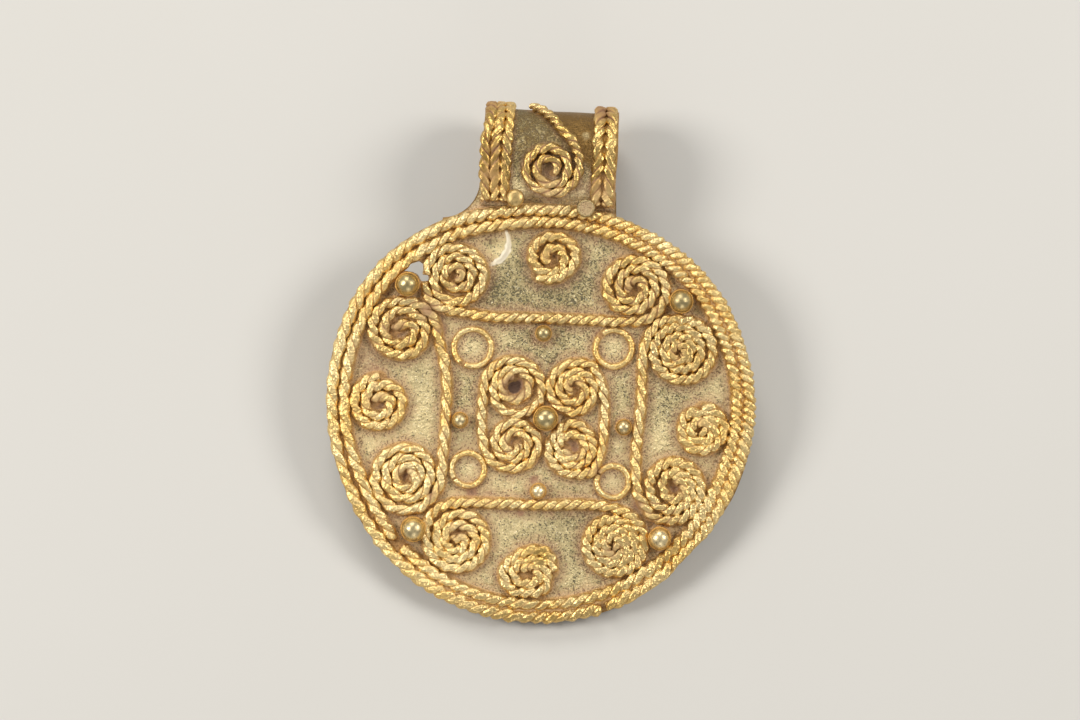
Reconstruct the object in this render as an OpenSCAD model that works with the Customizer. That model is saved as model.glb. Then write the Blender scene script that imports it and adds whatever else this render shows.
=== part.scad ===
// Round filigree pendant with a tubular suspension loop, lying on its back.
// The ornament is laid out in the disc's own frame: x to the right, y up towards the loop, z out
// of the face, with z = 0 on the back of the plate and (0, 0) in the middle of the ornament.
// The whole piece is then tilted until the loop's back and the plate's lower edge both touch z = 0.

/* [Plate] */
// Mean radius of the round plate
disc_r = 13.5; // [13.4:0.05:13.9]
// Thickness of the plate
plate_t = 0.5; // [0.3:0.05:0.6]
// Height of the plate's tongue inside the loop, above the middle of the disc
tongue_top = 14.1; // [13.9:0.05:14.15]
// Radius of the concave sweep from the disc to the tongue's left side
flare_r = 2.4; // [2:0.1:3]

/* [Loop] */
// Inside radius of the loop, where the cord or chain goes through
loop_r = 2.5; // [2:0.05:2.6]
// Thickness of the loop's sheet
loop_t = 0.4; // [0.3:0.05:0.5]
// Width of the loop, along its bore
loop_w = 8.5; // [8.4:0.05:9]
// Height of the loop's bore above the middle of the disc
loop_y = 16.42; // [16.4:0.02:16.6]
// Middle of the loop, to the right of the middle of the disc
loop_x = 0.42; // [0:0.01:0.6]
// How far the loop leans to the right, in degrees
loop_lean = 3; // [0:0.1:4]

/* [Twisted wire] */
// Width of the outer border rope
outer_rope_d = 0.76; // [0.5:0.01:0.78]
// Width of the inner border rope
inner_rope_d = 0.72; // [0.5:0.01:0.74]
// Width of the twisted wire of the scrolls and rosettes
scroll_d = 0.57; // [0.4:0.01:0.57]
// Width of the twisted wire of the scroll on the loop
loop_scroll_d = 0.48; // [0.4:0.01:0.5]
// Distance from one turn of a scroll to the next
turn_gap = 0.6; // [0.6:0.01:0.62]
// Height of the flattened ropes on the loop
rib_h = 0.42; // [0.3:0.02:0.5]

/* [Round wire and granules] */
// Thickness of the plain wire rings
ring_wire_d = 0.35; // [0.25:0.01:0.4]
// Diameter of the granule in the middle
centre_granule_d = 1.6; // [1.3:0.05:1.65]
// Diameter of the four granules beside the frame
side_granule_d = 1.04; // [0.8:0.02:1.06]
// Diameter of the two flattened granules at the foot of the loop
foot_granule_d = 1.16; // [1:0.02:1.2]
// Height of those two granules
foot_granule_h = 0.5; // [0.4:0.05:0.6]

/* [Hidden] */
$fn = 64;

sheet_colour = [0.74, 0.67, 0.45];
wire_colour = [0.88, 0.71, 0.36];
bead_colour = [0.82, 0.74, 0.50];

seat = 0.02;             // gap under each piece that lies on the plate or on the loop
loop_out = loop_r + loop_t;
leg_front = plate_t + seat;          // back of the loop's front leg
loop_z = leg_front + loop_t - loop_out;
leg_foot = 13.45;        // lower end of the front leg
tab_foot = 12.6;         // lower end of the back leg
tab_top = 14.8;          // where the back leg has run into the tube
tongue_left = -3.85;
tongue_w = 8.6;
tongue_root = 10;        // well inside the disc
flare_foot = [-6.6, 11.6];           // where the sweep on the left leaves the disc
flare_y = 14.85;         // height of the sweep's centre
slot_top = tongue_top + loop_w / 2 * sin(loop_lean) + seat;
face_z = plate_t + seat;
loop_face_z = leg_front + loop_t + seat;

// The rim is not a true circle. Each row: [angle, rim, middle of the outer rope, middle of the inner
// rope], as distances beyond disc_r, every 20 degrees from the right, anticlockwise.
rim_step = 20;
rim = [
    [0, 0.06, -0.42, -1.18],
    [20, 0.18, -0.30, -1.07],
    [40, 0.24, -0.24, -1.01],
    [60, 0.02, -0.46, -1.24],
    [80, -0.10, -0.60, -1.37],
    [100, -0.02, -0.56, -1.33],
    [120, 0.42, -0.10, -0.87],
    [140, 0.62, 0.12, -0.65],
    [160, 0.38, -0.10, -0.88],
    [180, 0.10, -0.38, -1.16],
    [200, -0.17, -0.63, -1.50],
    [220, -0.19, -0.66, -1.46],
    [240, -0.23, -0.68, -1.45],
    [260, -0.28, -0.74, -1.51],
    [280, -0.30, -0.76, -1.53],
    [300, -0.34, -0.80, -1.57],
    [320, -0.34, -0.80, -1.57],
    [340, -0.26, -0.72, -1.48]
];
rim_edge = 1;
rim_outer_rope = 2;
rim_inner_rope = 3;
outer_rope_ends = [288.6, 647.4];    // its two ends meet at the lower right
inner_rope_ends = [223.5, 580.5];    // its two ends meet beside the lower left granule

// A hole worn through the plate beside the upper left granule
torn_hole = [
    [-8.7, 9.1], [-8.3, 9.5], [-7.7, 9.7], [-7.4, 9.45], [-7.45, 9.15], [-7.1, 8.75],
    [-7.1, 8.45], [-7.55, 8.4], [-7.8, 8.85], [-8.1, 9.0]
];
// A curved tear whose lip stands up: middle, radius, first angle, sweep, height
tear = [-3.5, 10.9, 1.42, -72, 104, 0.16];

// Spirals: [centre x, centre y, first radius, first angle, way], wound inwards from the first
// radius; way is 1 where the wire runs anticlockwise on its way in, -1 where it runs clockwise.
spiral_top_left = [-5.38, 8.80, 1.76, 182, -1];
spiral_top_right = [5.88, 8.02, 1.92, -60, 1];
spiral_left_top = [-8.86, 5.36, 1.95, 20, 1];
spiral_left_bottom = [-8.56, -3.92, 2.16, -20, -1];
spiral_bottom_left = [-5.28, -7.92, 1.88, 150, 1];
spiral_bottom_right = [4.66, -8.22, 1.94, 55, -1];
spiral_right_top = [8.84, 3.95, 2.22, 125, -1];
spiral_right_bottom = [8.28, -4.74, 2.04, 205, 1];
spiral_centre_top_left = [-1.70, 1.74, 1.60, 90, -1];
spiral_centre_bottom_left = [-1.72, -1.84, 1.56, 270, 1];
spiral_centre_top_right = [2.04, 1.74, 1.52, 90, 1];
spiral_centre_bottom_right = [2.04, -2.16, 1.54, 270, -1];
spiral_loop = [0.50, 15.40, 1.78, 0, -1];
inner_end_r = 0.36;
open_end_r = 0.76;       // the upper left spiral of the middle is left open

// Spans between the spirals, as points that the wire runs through
span_top = [
    [-7.3, 8.1], [-7.2, 7.5], [-6.8, 6.9], [-6.0, 6.45], [-5.0, 6.2], [-3.0, 6.1], [0, 6.08],
    [3.0, 6.0], [5.2, 5.95]
];
span_left = [[-6.55, 5.05], [-6.2, 4.0], [-6.03, 3.0], [-5.9, 1.6], [-6.0, 0], [-6.05, -1.2],
    [-6.2, -2.6], [-6.25, -3.8]];
span_bottom = [[-6.7, -6.3], [-5.7, -5.65], [-4.5, -5.55], [-2.5, -5.62], [0, -5.7],
    [2.5, -5.68], [3.8, -5.78], [4.8, -6.1]];
span_right = [[6.75, 5.1], [6.42, 4.0], [6.38, 2.8], [6.36, 1.4], [6.25, 0], [6.1, -1.2],
    [6.0, -2.6], [6.02, -4.0], [6.1, -5.0]];
span_centre_left = [[-3.1, 2.6], [-3.6, 1.6], [-3.7, 0.6], [-3.76, -0.4], [-3.6, -1.5],
    [-3.05, -2.6]];
span_centre_right = [[3.35, 2.65], [3.92, 1.7], [4.02, 0.5], [3.98, -0.7], [3.88, -1.8],
    [3.4, -2.95]];
span_loop = [[-0.9, 20.4], [0.25, 19.05], [1.05, 17.97], [1.84, 17.2], [2.24, 16.4]];

// Rosettes: [centre x, centre y, first radius, first angle, way, height over width]
rosette_rows = [
    ["rosette_top", 0.82, 9.84, 1.30, 200, 1, 1],
    ["rosette_left", -10.16, 0.82, 1.56, 88, 1, 1],
    ["rosette_bottom", -0.79, -9.95, 1.66, 20, 1, 0.8],
    ["rosette_right", 10.12, -0.98, 1.42, 110, -1, 1]
];

// Plain wire rings: [name, centre x, centre y, outside radius, angle of the gap, width of the gap]
ring_rows = [
    ["wire_ring_top_left", -4.32, 4.22, 1.34, 238, 16],
    ["wire_ring_top_right", 4.60, 4.18, 1.32, 60, 4],
    ["wire_ring_bottom_left", -4.62, -3.46, 1.20, 215, 8],
    ["wire_ring_bottom_right", 4.52, -4.26, 1.18, 150, 6]
];

// Round granules: [name, centre x, centre y, diameter]
granule_rows = [
    ["granule_centre", 0.30, -0.24, centre_granule_d],
    ["granule_corner_top_left", -8.42, 8.22, 1.54],
    ["granule_corner_top_right", 8.84, 7.14, 1.54],
    ["granule_corner_bottom_left", -8.06, -7.22, 1.62],
    ["granule_corner_bottom_right", 7.48, -7.82, 1.50],
    ["granule_side_top", 0.16, 5.12, side_granule_d],
    ["granule_side_left", -5.12, -0.35, side_granule_d],
    ["granule_side_bottom", -0.18, -4.84, side_granule_d],
    ["granule_side_right", 5.22, -0.81, side_granule_d]
];

// Flattened granules at the foot of the loop: [name, centre x, centre y]
foot_rows = [
    ["granule_foot_left", -1.62, 13.62],
    ["granule_foot_right", 2.82, 12.98]
];
foot_granule_z = face_z + outer_rope_d + seat;

// Ropes of the two ribs: [x of the rope from the loop's middle, width, way of the twist]
rib_left_ropes = [[-3.72, 1.02, -1], [-2.66, 1.02, 1]];
rib_right_ropes = [[2.94, 0.80, -1], [3.78, 0.80, 1]];
rib_start = 13.5;
rib_sweep = 240;         // how far the ribs run round the tube, in degrees

// Lengths of one strand's lozenge along each kind of rope
lozenge_border_outer = 1.12;
lozenge_border_inner = 1.15;
lozenge_scroll = 0.88;
lozenge_rib = 1.3;
rings_per_lozenge = 3;

// Sections of two strands side by side, as [angle, share of half the width] of each corner
border_section = [[0, 1], [42, 0.86], [138, 0.86], [180, 1], [222, 0.86], [318, 0.86]];
scroll_section = [[27, 1], [153, 1], [207, 1], [333, 1]];

// At rest the plate's lower edge and the backs of the two ribs touch the ground. The lower rib,
// the right one, sets the tilt. The origin is below the middle of the whole.
rib_reach = loop_out + seat + rib_h;
contact_y = loop_y - rib_right_ropes[1][0] * sin(loop_lean);
contact_z = loop_z;
lower_edge_y = -rim_at(270, rim_edge);
rest_tilt = asin(rib_reach / norm([contact_y - lower_edge_y, contact_z]))
    - atan2(contact_z, contact_y - lower_edge_y);
middle_x = -0.03;
middle_y = 3.47;
rest_z = -lower_edge_y * sin(rest_tilt);

function reversed(list) = [for (i = [len(list) - 1:-1:0]) list[i]];

// Height of the rim's row at any angle, curved smoothly from row to row
function rim_at(angle, column) =
    let (place = angle / rim_step, i = floor(place), u = place - i, n = len(rim))
    let (row = function (k) rim[(k + 4 * n) % n][column])
    disc_r + catmull(row(i - 1), row(i), row(i + 1), row(i + 2), u);

function catmull(a, b, c, d, u) =
    b + 0.5 * u * (c - a + u * (2 * a - 5 * b + 4 * c - d + u * (3 * (b - c) + d - a)));

// Points along a curve that runs smoothly through the given ones
function smooth(list, parts = 4) =
    let (last = len(list) - 1)
    concat(
        [for (i = [0:last - 1], k = [0:parts - 1])
            catmull(list[max(i - 1, 0)], list[i], list[i + 1], list[min(i + 2, last)], k / parts)],
        [list[last]]
    );

// A spiral from its outer end to its inner one
function spiral(row, pitch = turn_gap, end_r = inner_end_r, squash = 1) =
    let (turns = (row[2] - end_r) / pitch, steps = ceil(turns * 15))
    [for (i = [0:steps])
        let (share = i / steps, r = row[2] + (end_r - row[2]) * share)
        let (a = row[3] + row[4] * 360 * turns * share)
        [row[0] + r * cos(a), row[1] + squash * r * sin(a)]];

function rim_path(ends, column) =
    let (steps = ceil((ends[1] - ends[0]) / 5))
    [for (i = [0:steps])
        let (a = ends[0] + (ends[1] - ends[0]) * i / steps, r = rim_at(a, column))
        [r * cos(a), r * sin(a)]];

// Points at equal distances along a path
function resampled(path, step) =
    let (lengths = [for (i = 0, s = 0; i < len(path);
        i = i + 1, s = i < len(path) ? s + norm(path[i] - path[i - 1]) : s) s])
    let (total = lengths[len(path) - 1], n = max(round(total / step), 2))
    let (xs = [for (i = [0:len(path) - 1]) [lengths[i], path[i][0]]])
    let (ys = [for (i = [0:len(path) - 1]) [lengths[i], path[i][1]]])
    [for (i = [0:n]) [lookup(i * total / n, xs), lookup(i * total / n, ys)]];

// Where a point at (x, y) and a height above the sheet lies: on the flat face of the plate
function on_plate(x, y, lift) = [x, y, face_z + lift];

// and on the loop, whose front is flat up to the bore's height and then goes round the tube
function on_loop(x, y, lift) =
    y <= loop_y ? [x, y, loop_face_z + lift] :
    let (a = (y - loop_y) / loop_out * 180 / PI, r = loop_out + seat + lift)
    [x, loop_y + r * sin(a), loop_z + r * cos(a)];

// Rings of corners along a path, each turned a little further than the last
function rope_rings(path, width, height, section, twist, place) =
    [for (i = [0:len(path) - 1], corner = section)
        let (along = path[min(i + 1, len(path) - 1)] - path[max(i - 1, 0)])
        let (left = [-along[1], along[0]] / norm(along))
        let (a = corner[0] + twist * i * 180 / rings_per_lozenge)
        let (spot = path[i] + left * corner[1] * cos(a) * width / 2)
        place(spot[0], spot[1], height / 2 * (1 + corner[1] * sin(a)))];

function rope_faces(rings, sides, twist, first = 0) =
    concat(
        [[for (j = [0:sides - 1]) first + j]],
        [[for (j = [sides - 1:-1:0]) first + (rings - 1) * sides + j]],
        [for (i = [0:rings - 2], j = [0:sides - 1], half = [0, 1])
            let (k = (j + 1) % sides, here = first + i * sides, next = here + sides)
            twist < 0 ?
            (half == 0 ? [here + j, next + j, next + k] : [here + j, next + k, here + k]) :
            (half == 0 ? [here + j, next + j, here + k] : [next + j, next + k, here + k])]
    );

// Twisted wires along one or more paths, as closed shells of one body
module rope(paths, width, height, lozenge, section = scroll_section, twist = -1,
            place = function (x, y, lift) on_plate(x, y, lift)) {
    sides = len(section);
    rows = [for (path = paths) resampled(path, lozenge / rings_per_lozenge)];
    firsts = [for (i = 0, s = 0; i < len(rows); s = s + len(rows[i]) * sides, i = i + 1) s];
    points = [for (row = rows) each rope_rings(row, width, height, section, twist, place)];
    faces = [for (i = [0:len(rows) - 1]) each rope_faces(len(rows[i]), sides, twist, firsts[i])];
    color(wire_colour) polyhedron(points, faces, convexity = 10);
}

// A wire with a spiral at both ends
function scroll_path(start, span, end) = smooth(concat(reversed(spiral(start)), span, spiral(end)));

module disc_outline() {
    difference() {
        union() {
            polygon([for (a = [0:4:356]) rim_at(a, rim_edge) * [cos(a), sin(a)]]);
            translate([tongue_left, tongue_root]) square([tongue_w, tongue_top - tongue_root]);
            difference() {
                polygon([[tongue_left, tongue_top], [tongue_left, flare_foot[1]], flare_foot,
                    [flare_foot[0], flare_y - flare_r + 0.5]]);
                translate([tongue_left - flare_r, flare_y]) circle(flare_r);
            }
        }
        polygon(torn_hole);
    }
}

module disc_plate() {
    color(sheet_colour) {
        linear_extrude(plate_t) disc_outline();
        translate([tear[0], tear[1], 0]) rotate([0, 0, tear[3]])
            rotate_extrude(angle = tear[4])
                polygon([[tear[2] - 0.1, plate_t - 0.1], [tear[2] + 0.12, plate_t - 0.1],
                    [tear[2] + 0.06, plate_t + tear[5]], [tear[2], plate_t + tear[5]]]);
    }
}

module leaning() {
    translate([loop_x, leg_foot, 0]) rotate([0, 0, -loop_lean]) translate([0, -leg_foot, 0])
        children();
}

module loop_profile() {
    difference() {
        union() {
            translate([loop_y, loop_z]) circle(loop_out);
            translate([leg_foot, leg_front]) square([loop_y - leg_foot, loop_t]);
            translate([tab_foot, -seat - loop_t]) square([tab_top - tab_foot, loop_t]);
        }
        translate([loop_y, loop_z]) circle(loop_r);
        // The slot that holds the plate's tongue, open downwards
        translate([tab_foot - 1, -seat]) square([slot_top - tab_foot + 1, leg_front + seat]);
    }
}

module bail_loop() {
    color(sheet_colour) leaning()
        translate([-loop_w / 2, 0, 0]) rotate([90, 0, 90]) linear_extrude(loop_w) loop_profile();
}

module bail_rib(ropes) {
    rib_end = loop_y + loop_out * rib_sweep * PI / 180;
    leaning() for (row = ropes)
        rope([[[row[0], rib_start], [row[0], rib_end]]], row[1], rib_h, lozenge_rib, twist = row[2],
             place = function (x, y, lift) on_loop(x, y, lift));
}

module bail_scroll() {
    path = smooth(concat(span_loop, spiral(spiral_loop, squash = 0.84)));
    rope([path], loop_scroll_d, loop_scroll_d, lozenge_scroll,
         place = function (x, y, lift) on_loop(x, y, lift));
}

module border_rope(ends, column, width, lozenge) {
    rope([rim_path(ends, column)], width, width, lozenge, border_section);
}

module frame_scroll_top() {
    rope([spiral(spiral_top_left), smooth(concat(span_top, spiral(spiral_top_right)))],
         scroll_d, scroll_d, lozenge_scroll);
}

module scroll(start, span, end) {
    rope([scroll_path(start, span, end)], scroll_d, scroll_d, lozenge_scroll);
}

module centre_scroll_left() {
    rope([smooth(concat(reversed(spiral(spiral_centre_top_left, end_r = open_end_r)),
                        span_centre_left, spiral(spiral_centre_bottom_left)))],
         scroll_d, scroll_d, lozenge_scroll);
}

module rosette(row) {
    rope([spiral([row[1], row[2], row[3], row[4], row[5]], turn_gap / row[6], squash = row[6])],
         scroll_d, scroll_d, lozenge_scroll);
}

module wire_ring(row) {
    color(wire_colour) translate([row[1], row[2], face_z + ring_wire_d / 2])
        rotate([0, 0, row[4] + row[5] / 2])
            rotate_extrude(angle = 360 - row[5])
                translate([row[3] - ring_wire_d / 2, 0]) circle(d = ring_wire_d, $fn = 24);
}

module granule(row) {
    color(bead_colour) translate([row[1], row[2], face_z + row[3] / 2]) sphere(d = row[3]);
}

module foot_granule(row) {
    color(bead_colour) translate([row[1], row[2], foot_granule_z])
        rotate_extrude() {
            square([foot_granule_d / 2 - foot_granule_h / 2, foot_granule_h]);
            translate([foot_granule_d / 2 - foot_granule_h / 2, foot_granule_h / 2])
                intersection() {
                    circle(d = foot_granule_h, $fn = 32);
                    translate([0, -foot_granule_h]) square(2 * foot_granule_h);
                }
        }
}

module at_rest() {
    translate([-middle_x, -middle_y, rest_z]) rotate([rest_tilt, 0, 0]) children();
}

at_rest() disc_plate();
at_rest() bail_loop();
at_rest() bail_rib(rib_left_ropes);  // bail_rib_left
at_rest() bail_rib(rib_right_ropes);  // bail_rib_right
at_rest() leaning() translate([-loop_x, 0, 0]) bail_scroll();
at_rest() border_rope(outer_rope_ends, rim_outer_rope, outer_rope_d, lozenge_border_outer);  // border_rope_outer
at_rest() border_rope(inner_rope_ends, rim_inner_rope, inner_rope_d, lozenge_border_inner);  // border_rope_inner
at_rest() frame_scroll_top();
at_rest() scroll(spiral_left_top, span_left, spiral_left_bottom);  // frame_scroll_left
at_rest() scroll(spiral_bottom_left, span_bottom, spiral_bottom_right);  // frame_scroll_bottom
at_rest() scroll(spiral_right_top, span_right, spiral_right_bottom);  // frame_scroll_right
at_rest() centre_scroll_left();
at_rest() scroll(spiral_centre_top_right, span_centre_right, spiral_centre_bottom_right);  // centre_scroll_right
for (row = rosette_rows) at_rest() rosette(row);
for (row = ring_rows) at_rest() wire_ring(row);
for (row = granule_rows) at_rest() granule(row);
for (row = foot_rows) at_rest() foot_granule(row);
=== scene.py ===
import bmesh
import bpy
import math
from mathutils import Matrix, Vector, kdtree, noise


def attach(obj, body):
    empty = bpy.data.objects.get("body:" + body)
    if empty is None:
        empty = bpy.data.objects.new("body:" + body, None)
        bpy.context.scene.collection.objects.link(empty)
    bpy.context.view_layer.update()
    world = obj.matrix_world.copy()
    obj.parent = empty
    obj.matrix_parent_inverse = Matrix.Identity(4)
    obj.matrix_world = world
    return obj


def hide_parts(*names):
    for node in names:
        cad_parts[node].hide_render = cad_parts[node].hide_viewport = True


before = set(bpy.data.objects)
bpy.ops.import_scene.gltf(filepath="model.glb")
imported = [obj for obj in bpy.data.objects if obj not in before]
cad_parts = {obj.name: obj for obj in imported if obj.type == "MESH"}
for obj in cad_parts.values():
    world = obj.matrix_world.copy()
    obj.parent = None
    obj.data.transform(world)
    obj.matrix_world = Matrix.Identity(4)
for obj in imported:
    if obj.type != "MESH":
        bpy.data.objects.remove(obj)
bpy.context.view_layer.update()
print("frame loaded:", len(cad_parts), "nodes")

# Round gold filigree pendant with a ribbed tubular loop, lying on its back.
# Everything is drawn in the pendant's own frame, in mm: x right, y up to the loop, z out of the
# face, z = 0 on the plate's back. toRest lays it down as the frame does, in metres.
layOut = {
    "tilt": 10.35017,          # degrees: the loop's back and the plate's lower edge touch the floor
    "shift": (0.03, -3.47, 2.37325),
    "discR": 13.5,
    "plateT": 0.5,
    "gap": 0.02,               # under each wire
}
faceTurn = Matrix.Rotation(math.radians(layOut["tilt"]), 4, "X")
toRest = Matrix.Scale(0.001, 4) @ Matrix.Translation(layOut["shift"]) @ faceTurn


# Small sums

def smoothStep(low, high, value):
    share = min(max((value - low) / (high - low), 0.0), 1.0)
    return share * share * (3 - 2 * share)


def wander(x, y=0.0, z=0.0):
    return noise.noise(Vector((x, y, z)))


def catmull(a, b, c, d, u):
    return b + 0.5 * u * (c - a + u * (2 * a - 5 * b + 4 * c - d + u * (3 * (b - c) + d - a)))


def runThrough(points, parts=12):
    # a smooth line through the given points
    pts = [Vector(p) for p in points]
    last = len(pts) - 1
    line = []
    for i in range(last):
        four = pts[max(i - 1, 0)], pts[i], pts[i + 1], pts[min(i + 2, last)]
        line += [catmull(*four, k / parts) for k in range(parts)]
    return line + [pts[last]]


def evenly(line, step=0.04):
    # A line of points (x, y, slack), cut at equal lengths of wire. Where slack is over 1 the
    # twist is pulled out, so a millimetre of wire reaches further.
    used = [0.0]
    for a, b in zip(line, line[1:]):
        used.append(used[-1] + (b - a).xy.length / b.z)
    count = max(int(used[-1] / step), 2)
    spots = []
    k = 0
    for i in range(count + 1):
        s = used[-1] * i / count
        while k < len(used) - 2 and used[k + 1] < s:
            k += 1
        share = (s - used[k]) / max(used[k + 1] - used[k], 1e-9)
        spots.append(line[k].lerp(line[k + 1], min(share, 1.0)).xy)
    ways = [(spots[min(i + 2, count)] - spots[max(i - 2, 0)]).normalized()
            for i in range(count + 1)]
    return {"spots": spots, "ways": ways, "length": used[-1], "step": used[-1] / count}


def along(route, s):
    place = min(max(s / route["step"], 0.0), len(route["spots"]) - 1.001)
    i = int(place)
    u = place - i
    return (route["spots"][i].lerp(route["spots"][i + 1], u),
            route["ways"][i].lerp(route["ways"][i + 1], u))


def treeOf(points):
    tree = kdtree.KDTree(len(points))
    for k, (x, y, *_) in enumerate(points):
        tree.insert((x, y, 0), k)
    tree.balance()
    return tree


def patchAt(patches, x, y):
    # soft round patches: x, y, radius, strength
    total = 0.0
    for px, py, r, strength in patches:
        away = ((x - px) ** 2 + (y - py) ** 2) / (r * r)
        if away < 6:
            total += strength * math.exp(-away)
    return total


# Where things lie

# The rim is not a true circle: [rim, middle of the outer rope, middle of the inner rope], as
# distances beyond discR, every 20 degrees from the right, anticlockwise
rimRows = [
    (0.06, -0.42, -1.18), (0.18, -0.3, -1.07), (0.24, -0.24, -1.01), (0.02, -0.46, -1.24),
    (-0.1, -0.6, -1.37), (-0.02, -0.56, -1.33), (0.42, -0.1, -0.87), (0.62, 0.12, -0.65),
    (0.38, -0.1, -0.88), (0.1, -0.38, -1.16), (-0.17, -0.63, -1.5), (-0.19, -0.66, -1.46),
    (-0.23, -0.68, -1.45), (-0.28, -0.74, -1.51), (-0.3, -0.76, -1.53), (-0.34, -0.8, -1.57),
    (-0.34, -0.8, -1.57), (-0.26, -0.72, -1.48),
]

loop = {
    "r": 2.5,                  # inside radius
    "t": 0.4,                  # sheet
    "w": 8.5,                  # along the bore
    "y": 16.42,                # height of the bore
    "x": 0.42,
    "lean": 3,                 # degrees to the right
    "foot": 13.45,
    "low": 13,                 # where its front leg ends
    "turn": 318,               # degrees that it goes round the bore
    "bare": ((2.2, 17.8, 0.5, 0.8), (2.6, 16.6, 0.7, 0.4)),    # painted highlights: patches with less brown tarnish, where the panel catches the light
}
loop["out"] = loop["r"] + loop["t"]
loop["z"] = layOut["plateT"] + layOut["gap"] + loop["t"] - loop["out"]
leaning = (Matrix.Translation((loop["x"], loop["foot"], 0))
           @ Matrix.Rotation(math.radians(-loop["lean"]), 4, "Z")
           @ Matrix.Translation((0, -loop["foot"], 0)))


def rimAt(angle, column):
    place = (angle % 360) / 20
    i = int(place)
    four = [rimRows[(i + k) % len(rimRows)][column] for k in (-1, 0, 1, 2)]
    return layOut["discR"] + catmull(*four, place - i)


def wornAt(angle):
    # how far the lower right edge is worn away
    a = angle % 360
    return (0.16 * smoothStep(292, 300, a) * (1 - smoothStep(328, 338, a))
            + 0.2 * smoothStep(308, 313, a) * (1 - smoothStep(319, 325, a)))


def sideOn(angle):
    # 1 along the lower right of the disc, where the plate's brown edge shows outside the wires
    a = (angle + 180) % 360 - 180
    return smoothStep(-58, -46, a) * (1 - smoothStep(-20, 2, a))


def onPlate(x, y, lift):
    return Vector((x, y, layOut["plateT"] + layOut["gap"] + lift))


def onRim(x, y, lift):
    # as onPlate, with the rope's outer side worn off where the edge is
    angle = math.degrees(math.atan2(y, x)) % 360
    worn = wornAt(angle)
    r = math.hypot(x, y)
    limit = rimAt(angle, 0) + 0.03 - worn
    if worn > 0.01 and r > limit:
        keep = (limit + (r - limit) * 0.15) / r
        return onPlate(x * keep, y * keep, lift)
    return onPlate(x, y, lift)


def onLoop(x, y, lift):
    # x from the loop's middle, y up its front leg and then round the tube
    r = loop["out"] + layOut["gap"] + lift
    if y <= loop["y"]:
        return leaning @ Vector((x, y, loop["z"] + r))
    a = (y - loop["y"]) / loop["out"]
    return leaning @ Vector((x, loop["y"] + r * math.sin(a), loop["z"] + r * math.cos(a)))


# Materials

def srgb(code):
    parts = [int(code[i:i + 2], 16) / 255 for i in (1, 3, 5)]
    return [c / 12.92 if c <= 0.04045 else ((c + 0.055) / 1.055) ** 2.4 for c in parts] + [1.0]


def addNode(tree, kind, settings=None, links=None):
    # a link's source is a node, for its first live output, or a socket
    node = tree.nodes.new("ShaderNode" + kind)
    for key, value in (settings or {}).items():
        if isinstance(key, int) or key in node.inputs:
            node.inputs[key].default_value = value
        else:
            setattr(node, key, value)
    for key, source in (links or {}).items():
        if isinstance(source, bpy.types.Node):
            source = next(out for out in source.outputs if out.enabled)
        tree.links.new(source, node.inputs[key])
    return node


def startMaterial(name, noises, layers=()):
    # with its noise patterns, and the values that the mesh carries in layers
    material = bpy.data.materials.new(name)
    material.use_nodes = True
    tree = material.node_tree
    tree.nodes.clear()
    coords = addNode(tree, "TexCoord")
    mm = addNode(tree, "Mapping", {"Scale": (1000, 1000, 1000)},
                 {"Vector": coords.outputs["Object"]})
    patterns = [addNode(tree, "TexNoise", dict(zip(("Scale", "Detail", "Roughness"), noise)),
                        {"Vector": mm}) for noise in noises]
    values = [addNode(tree, "Attribute", {"attribute_name": layer}).outputs["Fac"]
              for layer in layers]
    return material, tree, mm, patterns, values


def coat(tree, under, row, source):
    # a colour over another: the source says where, and the row where its share begins, where it
    # is full, and how much it is then
    colour, low, high, most = row
    share = addNode(tree, "MapRange", {"From Min": low, "From Max": high, "To Max": most},
                    {"Value": source})
    settings = {"data_type": "RGBA", 7: srgb(colour)}
    links = {0: share}
    if isinstance(under, str):
        settings[6] = srgb(under)
    else:
        links[6] = under
    return share, addNode(tree, "Mix", settings, links)


def closeMaterial(tree, settings, links):
    shader = addNode(tree, "BsdfPrincipled", settings, links)
    addNode(tree, "OutputMaterial", None, {"Surface": shader})


wireGold = {
    "warm": "#EFC97C",
    "pale": ("#F6DCA0", 0.35, 0.65, 1),
    "olive": "#BC974F",
    "pit": ("#9A7842", 0.55, 0.75, 0.3),
    "groove": "#BC955E",
    "deep": ("#8E6645", 1.25, 1.7, 1),
    "earth": ("#A8825F", 0.66, 1.45, 0.85),
    "satin": {"From Min": 0.3, "From Max": 0.7, "To Min": 0.315, "To Max": 0.525},
    "bump": {"Strength": 1, "Distance": 0.00013},
    # scale, detail and roughness of each pattern
    "noises": ((0.45, 2), (3, 3, 0.55), (8.5, 3, 0.65), (4.5, 1.5)),
}


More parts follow.
